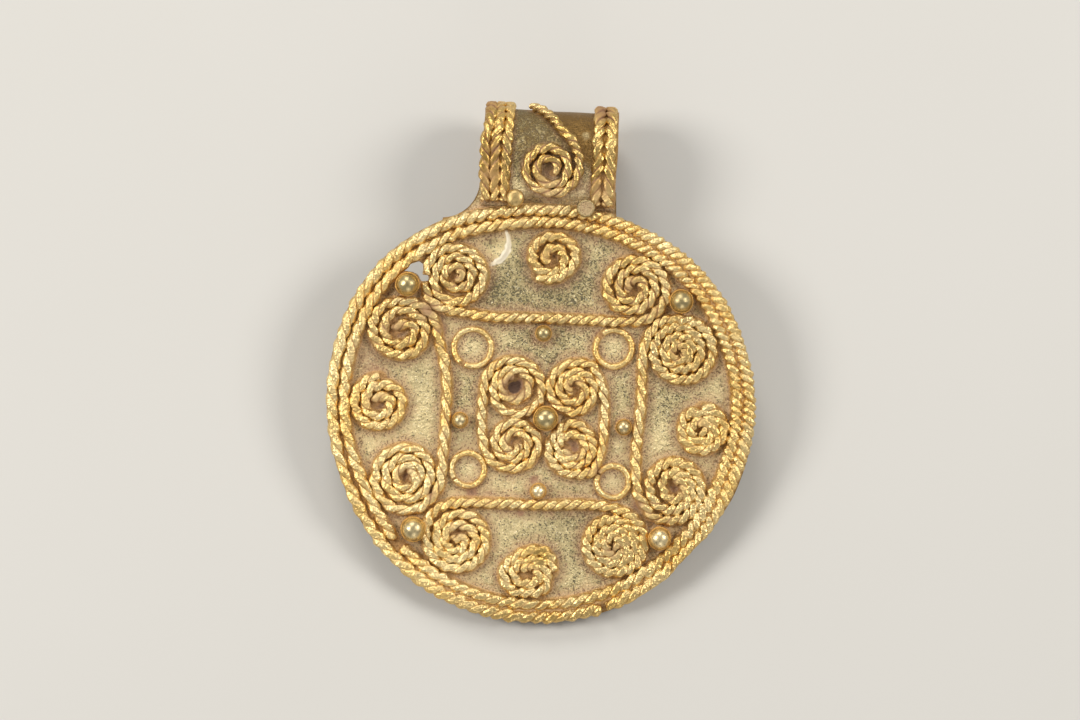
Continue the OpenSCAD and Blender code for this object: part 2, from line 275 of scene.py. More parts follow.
def makeWireGold():
    # High-carat gold wire, drawn, twisted, soldered and worn: rich yellow, satin on the worn
    # tops, with pinkish brown burial dirt in the grooves between the strands, painted shade in a
    # darker brown where they go deepest, and an olive cast that is partly painted shade
    material, tree, _, (broad, mottle, fine, dents), (grimeAndShade, soil, tone) = startMaterial(
        "soldered twisted gold wire", wireGold["noises"], ("grimeAndShade", "soil", "tone"))
    _, gold = coat(tree, wireGold["warm"], wireGold["pale"], broad)
    # olive cast: partly the gold's own tone, partly painted shade where flat worn tops reflect the
    # dark room, and at the rib tops
    gold = addNode(tree, "Mix", {"data_type": "RGBA", 7: srgb(wireGold["olive"])},
                   {0: tone, 6: gold})
    _, gold = coat(tree, gold, wireGold["pit"], fine)
    # brown dirt in the grooves, painted shade in a darker brown where they go deepest, and pinkish
    # burial soil where it clung
    patchy = addNode(tree, "Math", {"operation": "MULTIPLY_ADD", 1: 0.9}, {0: mottle, 2: grimeAndShade})
    _, groove = coat(tree, wireGold["groove"], wireGold["deep"], patchy)
    dirtAndPaintedLight = addNode(tree, "MapRange", {"From Min": 0.92, "From Max": 1.45}, {"Value": patchy})
    colour = addNode(tree, "Mix", {"data_type": "RGBA"}, {0: dirtAndPaintedLight, 6: gold, 7: groove})
    clung = addNode(tree, "Math", {"operation": "MULTIPLY_ADD", 1: 0.35}, {0: patchy, 2: soil})
    clung = addNode(tree, "Math", {"operation": "MULTIPLY_ADD", 1: 0.6}, {0: fine, 2: clung})
    earth, colour = coat(tree, colour, wireGold["earth"], clung)
    matt = addNode(tree, "Math", {"operation": "MAXIMUM"}, {0: dirtAndPaintedLight, 1: earth})
    metal = addNode(tree, "MapRange", {"To Min": 0.97, "To Max": 0.25}, {"Value": matt})
    satin = addNode(tree, "MapRange", wireGold["satin"], {"Value": fine})
    rough = addNode(tree, "Math", {"operation": "MULTIPLY_ADD", 1: 0.4}, {0: matt, 2: satin})
    rough = addNode(tree, "Math", {"operation": "MULTIPLY_ADD", 1: -0.09}, {0: tone, 2: rough})
    height = addNode(tree, "Math", {"operation": "MULTIPLY_ADD", 1: 0.15}, {0: fine, 2: dents})
    dented = addNode(tree, "MapRange", {"To Min": 1.0, "To Max": 0.25}, {"Value": tone})
    height = addNode(tree, "Math", {"operation": "MULTIPLY"}, {0: height, 1: dented})
    bump = addNode(tree, "Bump", wireGold["bump"], {"Height": height})
    closeMaterial(tree, None, {"Base Color": colour, "Metallic": metal, "Roughness": rough,
                               "Normal": bump})
    return material


sheetGold = {
    "bright": "#E6D3A1",
    "dull": ("#CFBE90", 0.35, 0.65, 1),
    "veil": ("#8F8359", 0.9, 1.6, 0.9),
    "speck": ("#4A4636", -0.04, 0.06, 0.75),
    "fleck": ("#F2E6BE", 0.93, 0.98, 0.55),
    "sand": ("#BD9570", 1.75, 0.85, 0.8),
    "grain": ("#75543F", -0.05, 0.12, 0.7),
    "earth": ("#A98164", 0.65, 1.35, 0.9),
    "brownSpots": ("#4E382E", 1.7, 2.2, 0.85),
    "brass": ("#80602E", 0.45, 1.15, 0.95),
    "solder": ("#D6A75A", 0.09, 0, 0.4),
    "lipHighlight": "#FFF4DA",
    "satin": {"From Min": 0.3, "From Max": 0.7, "To Min": 0.34, "To Max": 0.54},
    "bump": {"Strength": 1, "Distance": 0.00017},
    "cells": 13,               # specks in a mm
    "noises": ((0.28, 3), (1.6, 4, 0.65), (6.5, 3, 0.7)),
}


def makeSheetGold():
    # Hammered gold sheet with a silver-rich, slightly green cast: matt from burial, dusted with
    # dark specks in patches, sandy pink dirt beside each wire and a thin yellow line of solder.
    # The real specks are 0.05 mm and are drawn at 0.08 mm so that they show.
    material, tree, mm, (broad, cloud, dust), values = startMaterial(
        "hammered gold sheet", sheetGold["noises"], ("near", "patina", "soil", "brown", "lipHighlight"))
    near, patina, soil, brown, lipHighlight = values
    cells = addNode(tree, "TexVoronoi", {"Scale": sheetGold["cells"]}, {"Vector": mm})
    chance = addNode(tree, "SeparateColor", None, {0: cells.outputs["Color"]})
    _, base = coat(tree, sheetGold["bright"], sheetGold["dull"], broad)
    # a thin grey-green veil, and specks in it: each small cell is dark or not by its own chance
    dim = addNode(tree, "Math", {"operation": "MULTIPLY_ADD", 1: 0.45}, {0: patina, 2: cloud})
    uneven = addNode(tree, "Math", {"operation": "MULTIPLY_ADD", 1: 0.9}, {0: dust, 2: dim})
    _, base = coat(tree, base, sheetGold["veil"], uneven)
    often = addNode(tree, "Math", {"operation": "MULTIPLY_ADD", 1: 0.8, 2: -0.36}, {0: dim})
    short = addNode(tree, "Math", {"operation": "SUBTRACT"}, {0: often, 1: chance})
    specks, base = coat(tree, base, sheetGold["speck"], short)
    _, base = coat(tree, base, sheetGold["fleck"], chance.outputs[2])
    # sandy dirt beside the wires, with a ragged edge and darker grains
    ragged = addNode(tree, "Math", {"operation": "MULTIPLY_ADD", 1: 1.2}, {0: cloud, 2: near})
    ragged = addNode(tree, "Math", {"operation": "MULTIPLY_ADD", 1: 0.9}, {0: dust, 2: ragged})
    halo, base = coat(tree, base, sheetGold["sand"], ragged)
    grains = addNode(tree, "Math", {"operation": "MULTIPLY", 1: 0.55}, {0: halo})
    grains = addNode(tree, "Math", {"operation": "SUBTRACT"}, {0: grains, 1: chance.outputs[1]})
    _, base = coat(tree, base, sheetGold["grain"], grains)
    # pinkish burial soil in hollows, darkest brown where the soil patches are strongest, and brass
    # brown tarnish on the loop and at the rim
    clung = addNode(tree, "Math", {"operation": "MULTIPLY_ADD", 1: 1.1}, {0: dust, 2: soil})
    earth, base = coat(tree, base, sheetGold["earth"], clung)
    _, base = coat(tree, base, sheetGold["brownSpots"], clung)
    tarnish = addNode(tree, "Math", {"operation": "MULTIPLY_ADD", 1: 0.7}, {0: cloud, 2: brown})
    _, base = coat(tree, base, sheetGold["brass"], tarnish)
    _, base = coat(tree, base, sheetGold["solder"], near)
    # painted highlight: near-white along the torn lip, where it catches the light
    base = addNode(tree, "Mix", {"data_type": "RGBA", 7: srgb(sheetGold["lipHighlight"])},
                   {0: lipHighlight, 6: base})
    # a matt share: the dirt, and the torn lip's painted highlight
    dirtAndPaintedLight = specks
    for other in (earth, halo, lipHighlight):
        dirtAndPaintedLight = addNode(tree, "Math", {"operation": "MAXIMUM"}, {0: dirtAndPaintedLight, 1: other})
    metal = addNode(tree, "MapRange", {"To Min": 0.9, "To Max": 0.25}, {"Value": dirtAndPaintedLight})
    satin = addNode(tree, "MapRange", sheetGold["satin"], {"Value": dust})
    rough = addNode(tree, "Math", {"operation": "MULTIPLY_ADD", 1: 0.25}, {0: dirtAndPaintedLight, 2: satin})
    height = addNode(tree, "Math", {"operation": "MULTIPLY_ADD", 1: 0.5}, {0: dust, 2: cloud})
    height = addNode(tree, "Math", {"operation": "MULTIPLY_ADD", 1: -0.3}, {0: specks, 2: height})
    bump = addNode(tree, "Bump", sheetGold["bump"], {"Height": height})
    closeMaterial(tree, None, {"Base Color": base, "Metallic": metal, "Roughness": rough,
                               "Normal": bump})
    return material


beadGold = {
    "ball": "#C8B482",
    "cup": "#DAAF66",
    "bare": "#FBE6B8",
    "brownSpots": ("#7E6A42", 0.68, 0.86, 0.65),
    "satin": {"From Min": 0.3, "From Max": 0.7, "To Min": 0.29, "To Max": 0.49},
    "bump": {"Strength": 0.6, "Distance": 0.00007},
    "noises": ((2.2, 3, 0.6), (7.5, 3, 0.65)),
}


def makeBeadGold():
    # Granules melted from gold scrap: smooth, greenish and fairly bright, with pores and thin
    # brown stains, each in a warmer collar of solder
    material, tree, _, (cloud, fine), (grimeAndShade, bare) = startMaterial(
        "melted gold granule", beadGold["noises"], ("grimeAndShade", "bare"))
    gold = addNode(tree, "Mix",
                   {"data_type": "RGBA", 6: srgb(beadGold["ball"]), 7: srgb(beadGold["cup"])},
                   {0: grimeAndShade})
    # painted highlight: the ball painted paler where it catches the light, and where rubbed
    gold = addNode(tree, "Mix", {"data_type": "RGBA", 7: srgb(beadGold["bare"])},
                   {0: bare, 6: gold})
    stained = addNode(tree, "Math", {"operation": "MULTIPLY_ADD", 1: 0.3}, {0: cloud, 2: fine})
    _, colour = coat(tree, gold, beadGold["brownSpots"], stained)
    polish = addNode(tree, "MapRange", beadGold["satin"], {"Value": cloud})
    rough = addNode(tree, "Math", {"operation": "MULTIPLY_ADD", 1: 0.2}, {0: grimeAndShade, 2: polish})
    bump = addNode(tree, "Bump", beadGold["bump"], {"Height": cloud})
    closeMaterial(tree, {"Metallic": 1.0}, {"Base Color": colour, "Roughness": rough,
                                            "Normal": bump})
    return material


wireMaterial = makeWireGold()
sheetMaterial = makeSheetGold()
beadMaterial = makeBeadGold()
print("materials made")


# Finishing a piece

# soft patches over the whole pendant: x, y, radius, strength
marks = {
    "soil": [
        (-1.72, 1.8, 0.4, 2.2), (-4.4, -4.9, 0.32, 1.4), (-1.3, -6.2, 0.25, 1.2),
        (-0.45, -4.1, 0.28, 1.1), (-6.9, -5, 0.4, 0.9), (-6.3, 5.4, 0.4, 0.8),
        (6.1, -5.7, 0.35, 1), (-7.2, 6.5, 0.4, 1), (-3.1, 15.2, 0.9, 0.6), (3.62, -3.6, 0.4, 0.9),
        (3.7, 5.1, 0.25, 0.7), (3.7, 14.2, 0.8, 0.5), (0.6, 13.7, 1, 0.5), (-2.2, 13.9, 0.6, 0.3),
        (0.4, 15.3, 0.8, 0.5), (-3.5, 13.4, 0.8, 0.3), (3.8, 13.2, 0.7, 0.3), (-1, 13.6, 0.7, 0.3),
        (2.2, 13.4, 0.7, 0.3), (2.5, 14.4, 0.5, 0.4), (-5.38, 8.7, 0.7, 0.6),
        (5.7, 8.14, 0.6, 0.7), (-9.2, 5.4, 0.7, 0.8), (-8.56, -3.8, 0.6, 0.8),
        (-5.28, -7.5, 0.6, 0.7), (4.5, -8.6, 0.6, 0.7), (8.7, 3.95, 0.7, 0.5),
        (8.5, -4.7, 0.6, 0.7), (-1.7, 1.74, 0.8, 1.1), (2.04, 1.74, 0.6, 0.6),
        (-1.8, -1.8, 0.6, 0.6), (2, -2.1, 0.6, 0.8), (-10.4, 0.8, 0.7, 0.7), (0.5, 10, 0.6, 0.5),
        (-0.7, -9.9, 0.6, 0.4), (10.2, -0.6, 0.5, 0.5), (-11.2, 4, 1.3, 0.35),
        (-10.6, 2.8, 1, 0.3), (-9.9, -6.4, 1, 0.3), (-3.2, -5, 0.8, 0.4), (-6.9, 6.9, 0.9, 0.4),
        (7.1, 6.6, 0.9, 0.4), (6.9, -6.6, 0.9, 0.4)],
    # grime and painted shade: the patches at the tops of the loop's ribs darken them where the tube
    # curves back away from the lights
    "grimeAndShade": [
        (-3, 16.7, 0.8, 0.75), (-3.6, 14.7, 0.8, 0.35), (3.9, 18.9, 0.7, 0.6), (3.8, 14.9, 1, 0.5),
        (0.5, 15.4, 2, 0.15), (-3.3, 20, 1.1, 1), (4, 19.9, 1.1, 0.9), (2, 17, 0.9, 0.25),
        (5.6, 7.2, 1.2, 0.2), (8.4, -6, 1, 0.25), (2.6, -2.9, 0.8, 0.3), (-4.6, -6.6, 0.9, 0.2),
        (-7.4, 7.4, 1, 0.2)],
    "thick": [(12.4, -3, 5, 0.12), (7, -10.5, 3.5, 0.14), (0.05, -8.9, 0.55, 0.4)],
    # an olive cast, partly the gold's own tone and partly painted shade: the dark room reflected in
    # flat worn tops, and the tops of the ribs where the tube curves back from the lights
    "tone": [
        (8.8, 3.9, 2.4, 0.5), (8.3, -4.7, 2.4, 0.25), (10.1, -1, 1.6, 0.1), (5.9, 8, 2.4, 0.4),
        (4.7, -8.2, 2.2, 0.35), (-5.4, 8.8, 2, 0.4), (-8.9, 5.4, 2, 0.35), (0, 6.1, 3, 0.3),
        (0.5, 16, 3.2, 0.6), (-3.2, -13, 2.2, 0.5), (0.5, -13.3, 2.2, 0.5), (4, -12.4, 2.2, 0.5),
        (9, -9, 3, 0.3), (12.6, 0, 3, 0.25), (0.8, 9.8, 1.5, 0.3), (2, 1.7, 1.6, 0.2),
        (0.05, -8.95, 0.6, 0.9), (-3.3, 19.3, 0.9, 0.8), (4, 19.1, 0.9, 0.8),
        (-3.3, 15.4, 1.6, 0.9), (3.7, 14.6, 1.4, 0.7), (1.4, 18.6, 1.2, 0.5),
        (-3.3, 17.4, 1.2, 0.5), (3.9, 16.8, 1.2, 0.5)],
    "wear": [
        (4, 16.8, 1.3, 0.6), (-3.4, 15, 1, 0.9), (-3, 18.9, 1.2, 0.4), (12.6, 1, 2.4, 0.25),
        (12, -4.5, 2.6, 0.3), (9, -9.5, 2.4, 0.35), (4, -12.5, 2.4, 0.15), (-9, 9.3, 2, 0.3),
        (8.3, -4.7, 1.6, 0.2), (10.1, -1, 1.3, 0.15), (3.6, 14.2, 0.9, 0.5), (-12.8, 1, 4.5, 0.35),
        (-10.5, -7.5, 3.5, 0.3), (-0.8, -10, 1.4, 0.1), (0.8, 9.9, 1.4, 0.4), (0, -13, 4, 0.15),
        (-6, -11.5, 3, 0.25), (11.5, 6.5, 3, 0.3), (8.8, 3.9, 1.8, 0.15), (4.7, -8.2, 2.2, 0.2),
        (2, -2.1, 1.4, 0.3), (-5.3, -7.9, 2, 0.25), (0.05, -8.95, 0.6, 0.8)],
}


def nodeName(name):
    return "".join("_" + c.lower() if c.isupper() else c for c in name)


def addLayers(bm, *names):
    return [bm.verts.layers.float.new(name) for name in names]


def makeObject(name, bm, material):
    mesh = bpy.data.meshes.new(name)
    bm.to_mesh(mesh)
    bm.free()
    mesh.materials.append(material)
    made = bpy.data.objects.new(name, mesh)
    bpy.context.scene.collection.objects.link(made)
    return made


def finishPiece(name, bm, material, nodes=None):
    for kind in ("soil", "tone", "grimeAndShade"):
        layer = bm.verts.layers.float.get(kind) or bm.verts.layers.float.new(kind)
        for v in bm.verts:
            v[layer] += patchAt(marks[kind], v.co.x, v.co.y)
    bmesh.ops.transform(bm, matrix=toRest, verts=bm.verts)
    bmesh.ops.recalc_face_normals(bm, faces=bm.faces)
    for face in bm.faces:
        face.smooth = True
    piece = makeObject(name, bm, material)
    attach(piece, "root")
    nodes = nodes or [nodeName(name)]
    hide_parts(*nodes)
    return piece


# Twisted wires

trodden = []    # x, y, half width of what lies on the plate, with dirt beside it

# A wire: the thickness of a strand and the length of a lozenge of its twist in mm; how far out
# its top is pressed and its underside cut, as shares of its half; how full its grooves are; sides
# and rings of the mesh; how far it sways and rises in mm; its hand and its height
ropeWire = {"strand": 0.44, "lozenge": 0.78, "press": 0.82, "bed": 0.9, "fill": 0.54,
            "sides": 14, "rings": 9, "sway": 0.04, "rise": 0.03, "twist": -1, "tall": 1}
handWork = {
    "apart": 0.93,             # the strands' distance, as a share of their thickness
    "slip": 0.9,               # radians that the twist runs ahead or behind
    "fullest": 0.92,           # how full a groove gets
    "swell": 0.16,             # of the wire, slow and quick, and of a strand by itself
    "quickSwell": 0.12,
    "strandSwell": 0.14,
    "rounded": 0.3,            # mm at each end
}


def circleEdges(bm, sides, r, spot):
    circle = bmesh.ops.create_circle(bm, segments=sides, radius=r, matrix=spot)
    return list(dict.fromkeys(e for v in circle["verts"] for e in v.link_edges))


def fillEnds(bm):
    bmesh.ops.holes_fill(bm, edges=[e for e in bm.edges if e.is_boundary], sides=0)


def straightStrands(length, wire):
    # two round strands twisted along x: one turn is swept, doubled until long enough, and cut
    r = wire["strand"] / 2
    off = r * handWork["apart"]
    pitch = 2 * wire["lozenge"]
    twist = wire["twist"]
    slant = math.atan(math.pi * off / wire["lozenge"])
    rope = bmesh.new()
    for side in (0, 1):
        spot = (Matrix.Translation((-pitch, 0, 0)) @ Matrix.Rotation(side * math.pi, 4, "X")
                @ Matrix.Translation((0, off, 0)) @ Matrix.Rotation(-twist * slant, 4, "Y")
                @ Matrix.Rotation(math.pi / 2, 4, "Y"))
        edges = circleEdges(rope, wire["sides"], r, spot)
        steps = 2 * wire["rings"]
        bmesh.ops.spin(rope, geom=edges, cent=(0, 0, 0), axis=(twist, 0, 0),
                       dvec=(pitch / steps, 0, 0), angle=2 * math.pi, steps=steps, use_merge=False)
    turns = 1
    while (turns - 1) * pitch < length + pitch:
        copy = bmesh.ops.duplicate(rope, geom=rope.verts[:] + rope.edges[:] + rope.faces[:])
        moved = [g for g in copy["geom"] if isinstance(g, bmesh.types.BMVert)]
        bmesh.ops.translate(rope, verts=moved, vec=(turns * pitch, 0, 0))
        turns *= 2
    bmesh.ops.remove_doubles(rope, verts=rope.verts, dist=0.002)
    for spot, way in ((0, -1), (length, 1)):
        bmesh.ops.bisect_plane(rope, geom=rope.verts[:] + rope.edges[:] + rope.faces[:],
                               plane_co=(spot, 0, 0), plane_no=(way, 0, 0), clear_outer=True)
    fillEnds(rope)
    return rope, r + off


def twistStrands(bm, route, wire, place, seed=0.0):
    # a straight twisted wire, worn, pressed down a little and laid along the route
    rope, half = straightStrands(route["length"], wire)
    mesh = bpy.data.meshes.new("rope")
    rope.to_mesh(mesh)
    rope.free()
    count = len(bm.verts)
    bm.from_mesh(mesh)
    bpy.data.meshes.remove(mesh)
    bm.verts.ensure_lookup_table()
    grimeAndShade = bm.verts.layers.float["grimeAndShade"]
    bed = wire["bed"]
    floor = -half * (bed + (1 - bed) * 0.2)
    for v in bm.verts[count:]:
        s, y, z = v.co
        s = min(max(s, 0.0), route["length"])
        spot, way = along(route, s)
        left = Vector((-way.y, way.x)).normalized()
        # the twist is uneven
        slip = handWork["slip"] * wander(s * 0.45 + seed, 2.0)
        slip += 0.25 * wander(s * 1.7 + seed, 4.0)
        y, z = y * math.cos(slip) - z * math.sin(slip), y * math.sin(slip) + z * math.cos(slip)
        wear = min(patchAt(marks["wear"], *(spot + left * y)), 1.0)
        # grooves between the strands and the undersides hold dirt, with painted shade, a darker
        # brown, where they go deepest
        rho = math.hypot(y, z) / half
        groove = 1 - smoothStep(0.25, 0.85, rho)
        under = 1 - smoothStep(-0.8, -0.1, z / half)
        v[grimeAndShade] = max(groove * (1 - 0.75 * wear), under * 0.8)
        # solder and wear have filled the grooves, here more and there less
        if rho < 0.8:
            fill = wire["fill"] + (0.9 - wire["fill"]) * wear
            fill += 0.6 * wander(s * 1.1 + seed, 12.0)
            fill = min(max(fill, 0.1), handWork["fullest"])
            grow = (rho + fill * (0.8 - rho)) / max(rho, 0.05)
            y *= grow
            z *= grow
        # hand work: the strands' thickness and the wire's line vary, and the ends are rounded
        swell = 1 + handWork["swell"] * wander(s * 0.8 + seed, seed)
        swell += handWork["quickSwell"] * wander(s * 2.6, seed + 7)
        swell += handWork["strandSwell"] * wander(s * 2.2, y * 4 + seed, z * 4)
        swell += 0.04 * wander(s * 5.5, y * 8 + seed, z * 8)
        swell += patchAt(marks["thick"], spot.x, spot.y)
        end = min(s, route["length"] - s) / handWork["rounded"]
        if end < 1:
            swell *= 0.5 + 0.5 * math.sqrt(1 - (1 - end) ** 2)
        y *= swell
        z *= swell
        high = wire["press"] * (1 - 0.4 * wear)
        high = half * (high + 0.16 * wander(spot.x * 0.9, spot.y * 0.9, 3.0))
        if z > high:
            z = high + (z - high) * 0.25
        low = -half * bed
        if z < low:
            z = low + (z - low) * 0.2
        sway = wire["sway"] * wander(s * 0.9 + seed * 3, 5.0)
        rise = wire["rise"] * wander(s * 0.6 + seed * 2, 9.0)
        flat = spot + left * (y + sway)
        v.co = place(flat.x, flat.y, (z - floor) * wire["tall"] + rise - 0.02)


def wirePiece(name, routes, wire, place=onPlate):
    bm = bmesh.new()
    addLayers(bm, "grimeAndShade")
    for k, route in enumerate(routes):
        twistStrands(bm, route, wire, place, seed=len(name) * 1.7 + k * 11.3 + route["length"])
        if place is not onLoop:
            trodden.extend((p.x, p.y, wire["strand"]) for p in route["spots"][::2])
    finishPiece(name, bm, wireMaterial)


borderWire = {
    "outer": ropeWire,
    "inner": dict(ropeWire, strand=0.42, press=0.8),
    "outerEnds": (288.6, 647.4),
    "innerEnds": (223.5, 580.5),
    "outwards": 0.04,
    "inset": (0, 0.09, 0.05),  # of the outer and the inner wire along the lower right
    # how far the twist is pulled out, every 30 degrees from the right
    "slack": [0.68, 0.68, 0.72, 0.88, 1.12, 1.26, 1.4, 1.36, 0.98, 1, 1.05, 0.8],
}


def rimRoute(ends, column):
    count = 240
    line = []
    for i in range(count + 1):
        a = ends[0] + (ends[1] - ends[0]) * i / count
        r = rimAt(a, column) + borderWire["outwards"] - borderWire["inset"][column] * sideOn(a)
        k = int(a % 360 / 30)
        slack = borderWire["slack"][k]
        slack += (borderWire["slack"][(k + 1) % 12] - slack) * (a % 30) / 30
        line.append(Vector((r * math.cos(math.radians(a)), r * math.sin(math.radians(a)), slack)))
    return evenly(line)


wirePiece("borderRopeOuter", [rimRoute(borderWire["outerEnds"], 1)], borderWire["outer"], onRim)
wirePiece("borderRopeInner", [rimRoute(borderWire["innerEnds"], 2)], borderWire["inner"], onRim)
print("border wires laid")

# Each coil, one by one: its middle, the angle of its outer end, the way it turns inwards (1 is
# anticlockwise), how far its twist is pulled out, and its radius in hundredths of a mm at every
# eighth of a turn
coils = {
    "topLeft": (-5.38, 8.8, 180, -1, 0.93, [
        185, 182, 172, 172, 178, 170, 168, 158, 132, 118, 118, 110, 102, 95, 85, 80, 72, 62, 52,
        45, 40, 25, 12]),
    "topRight": (5.88, 8.02, 270, 1, 0.9, [
        215, 212, 200, 182, 172, 172, 172, 162, 145, 132, 130, 128, 118, 105, 98, 95, 88, 75, 65,
        55, 50, 46, 42, 38]),
    "leftTop": (-8.86, 5.36, 0, 1, 0.92, [
        230, 198, 180, 185, 176, 162, 160, 165, 155, 132, 124, 112, 105, 98, 92, 90, 88, 52, 24,
        28, 46]),
    "leftBottom": (-8.56, -3.92, 0, -1, 1.14, [
        225, 212, 212, 205, 192, 186, 182, 176, 158, 148, 136, 128, 123, 122, 120, 110, 92, 82, 76,
        68, 60, 58, 68, 64, 58, 50]),
    "bottomLeft": (-5.28, -7.92, 135, 1, 0.9, [
        230, 195, 185, 180, 180, 178, 176, 166, 148, 130, 128, 120, 115, 115, 105, 98, 90, 80, 72,
        66, 58, 42, 20, 5, 10, 30]),
    "bottomRight": (4.66, -8.22, 45, -1, 0.74, [
        200, 182, 178, 175, 178, 176, 172, 160, 142, 128, 122, 118, 118, 112, 108, 102, 90, 78, 72,
        70, 66, 62, 58, 50, 40, 28, 15, 12, 20]),
    "rightTop": (8.84, 3.95, 135, -1, 0.78, [
        230, 205, 202, 198, 188, 176, 172, 174, 168, 155, 136, 125, 118, 110, 106, 108, 105, 98,
        85, 62, 58, 55, 60, 60, 55, 45, 40, 28, 30, 42]),
    "rightBottom": (8.28, -4.74, 225, 1, 0.78, [
        208, 195, 186, 182, 180, 172, 158, 142, 136, 130, 125, 122, 120, 110, 80, 56, 52, 60, 72,
        80, 76, 62]),
    "centreTopLeft": (-1.7, 1.74, 180, -1, 0.95, [
        190, 180, 168, 165, 174, 180, 168, 150, 128, 120, 110, 105, 94, 84, 85, 82, 78, 75, 72]),
    "centreBottomLeft": (-1.72, -1.84, 180, 1, 1.06, [
        190, 172, 156, 152, 155, 145, 132, 128, 118, 105, 98, 95, 90, 85, 75, 65, 60, 55, 50, 40,
        32]),
    "centreTopRight": (2.04, 1.74, 45, 1, 0.96, [
        180, 148, 142, 148, 152, 160, 148, 128, 110, 92, 88, 90, 92, 95, 85, 70, 55, 50, 45, 38,
        34, 32]),
    "centreBottomRight": (2.04, -2.16, 315, -1, 0.76, [
        185, 160, 158, 155, 142, 160, 138, 122, 115, 105, 98, 95, 98, 92, 80, 75, 65, 60, 55, 50]),
    "top": (0.82, 9.84, 225, 1, 0.8, [
        150, 126, 120, 136, 140, 140, 144, 134, 108, 84, 74, 64, 64, 66, 62, 52, 35]),
    "left": (-10.16, 0.82, 90, 1, 0.93, [
        155, 158, 160, 162, 152, 148, 140, 125, 102, 98, 95, 98, 90, 80, 64, 46, 30, 30, 42]),
    "bottom": (-0.79, -9.95, 0, 1, 0.86, [
        152, 162, 134, 124, 160, 152, 132, 145, 112, 95, 75, 80, 95, 85, 75, 75, 60, 50, 40, 30,
        20]),
    "right": (10.12, -0.98, 90, -1, 0.84, [
        142, 145, 145, 130, 128, 126, 120, 130, 105, 95, 82, 78, 72, 72, 68, 62, 50, 42, 30, 20,
        15, 15]),
    "loop": (0.5, 15.4, 0, -1, 0.95, [
        175, 158, 142, 146, 156, 150, 136, 126, 108, 102, 90, 88, 86, 86, 72, 55, 38, 22]),
}
# The straight parts between them, with how far the twist is pulled out there
spans = {
    "topTail": (1, [(-7.36, 8.37), (-7.01, 7.25), (-5.98, 6.65), (-4.69, 6.4)]),
    "top": (0.78, [(-3, 6.14), (0, 6.08), (3, 5.96), (4.6, 5.86)]),
    "left": (1.32, [
        (-6.44, 4.6), (-6.15, 3.6), (-6.02, 2.8), (-5.92, 1.6), (-6, 0), (-6.06, -1.2),
        (-6.2, -2.7)]),
    "bottom": (0.85, [
        (-6.4, -5.86), (-5.5, -5.6), (-4.5, -5.55), (-2.5, -5.62), (0, -5.7), (2.5, -5.68),
        (3.8, -5.76), (4.9, -6.02), (5.7, -6.42)]),
    "right": (1.2, [
        (6.78, 5), (6.46, 4), (6.38, 2.8), (6.36, 1.4), (6.25, 0), (6.1, -1.2), (6, -2.6),
        (6.02, -4), (6.12, -5)]),
    "centreLeft": (1.1, [(-3.7, 0.6), (-3.76, -0.4), (-3.72, -1.1)]),
    "centreRight": (1.1, [(3.86, 1.9), (4.02, 0.6), (3.98, -0.7), (3.9, -1.8), (3.74, -2.7)]),
    "loopTail": (0.6, [(-0.9, 20.4), (0.25, 19.05), (1.05, 17.97), (1.84, 17.2), (2.28, 16.3)]),
}


def coilLine(coil):
    # from its outer end inwards
    x, y, first, way, slack, radii = coils[coil]
    last = len(radii) - 1
    line = []
    for i in range(last * 6 + 1):
        k = min(i // 6, last - 1)
        four = [radii[min(max(k + j, 0), last)] / 100 for j in (-1, 0, 1, 2)]
        r = catmull(*four, i / 6 - k)
        a = math.radians(first + way * 7.5 * i)
        line.append(Vector((x + r * math.cos(a), y + r * math.sin(a), slack)))
    return line


def spanLine(span):
    slack, points = spans[span]
    return runThrough([(x, y, slack) for x, y in points], 8)


def joined(*parts):
    line = [p for part in parts for p in part]
    return evenly(runThrough(line, 3))


def bothEnds(first, span, last):
    return joined(reversed(coilLine(first)), spanLine(span), coilLine(last))


scrollWire = dict(ropeWire, strand=0.38, lozenge=0.86, press=0.7, bed=0.8, fill=0.5, rings=10)
wirePiece("frameScrollTop",
          [joined(coilLine("topLeft")),
           joined(spanLine("topTail"), spanLine("top"), coilLine("topRight"))], scrollWire)
wirePiece("frameScrollLeft", [bothEnds("leftTop", "left", "leftBottom")], scrollWire)
wirePiece("frameScrollBottom", [bothEnds("bottomLeft", "bottom", "bottomRight")], scrollWire)
wirePiece("frameScrollRight", [bothEnds("rightTop", "right", "rightBottom")], scrollWire)
centreWire = dict(scrollWire, strand=0.35)
wirePiece("centreScrollLeft", [bothEnds("centreTopLeft", "centreLeft", "centreBottomLeft")],
          centreWire)
wirePiece("centreScrollRight", [bothEnds("centreTopRight", "centreRight", "centreBottomRight")],
          centreWire)
for side in ("top", "left", "bottom", "right"):
    wirePiece("rosette" + side.title(), [joined(coilLine(side))], scrollWire)
loopRoute = joined(*([p - Vector((loop["x"], 0, 0)) for p in line]
                     for line in (spanLine("loopTail"), coilLine("loop"))))
wirePiece("bailScroll", [loopRoute], dict(scrollWire, strand=0.34, lozenge=0.98), onLoop)

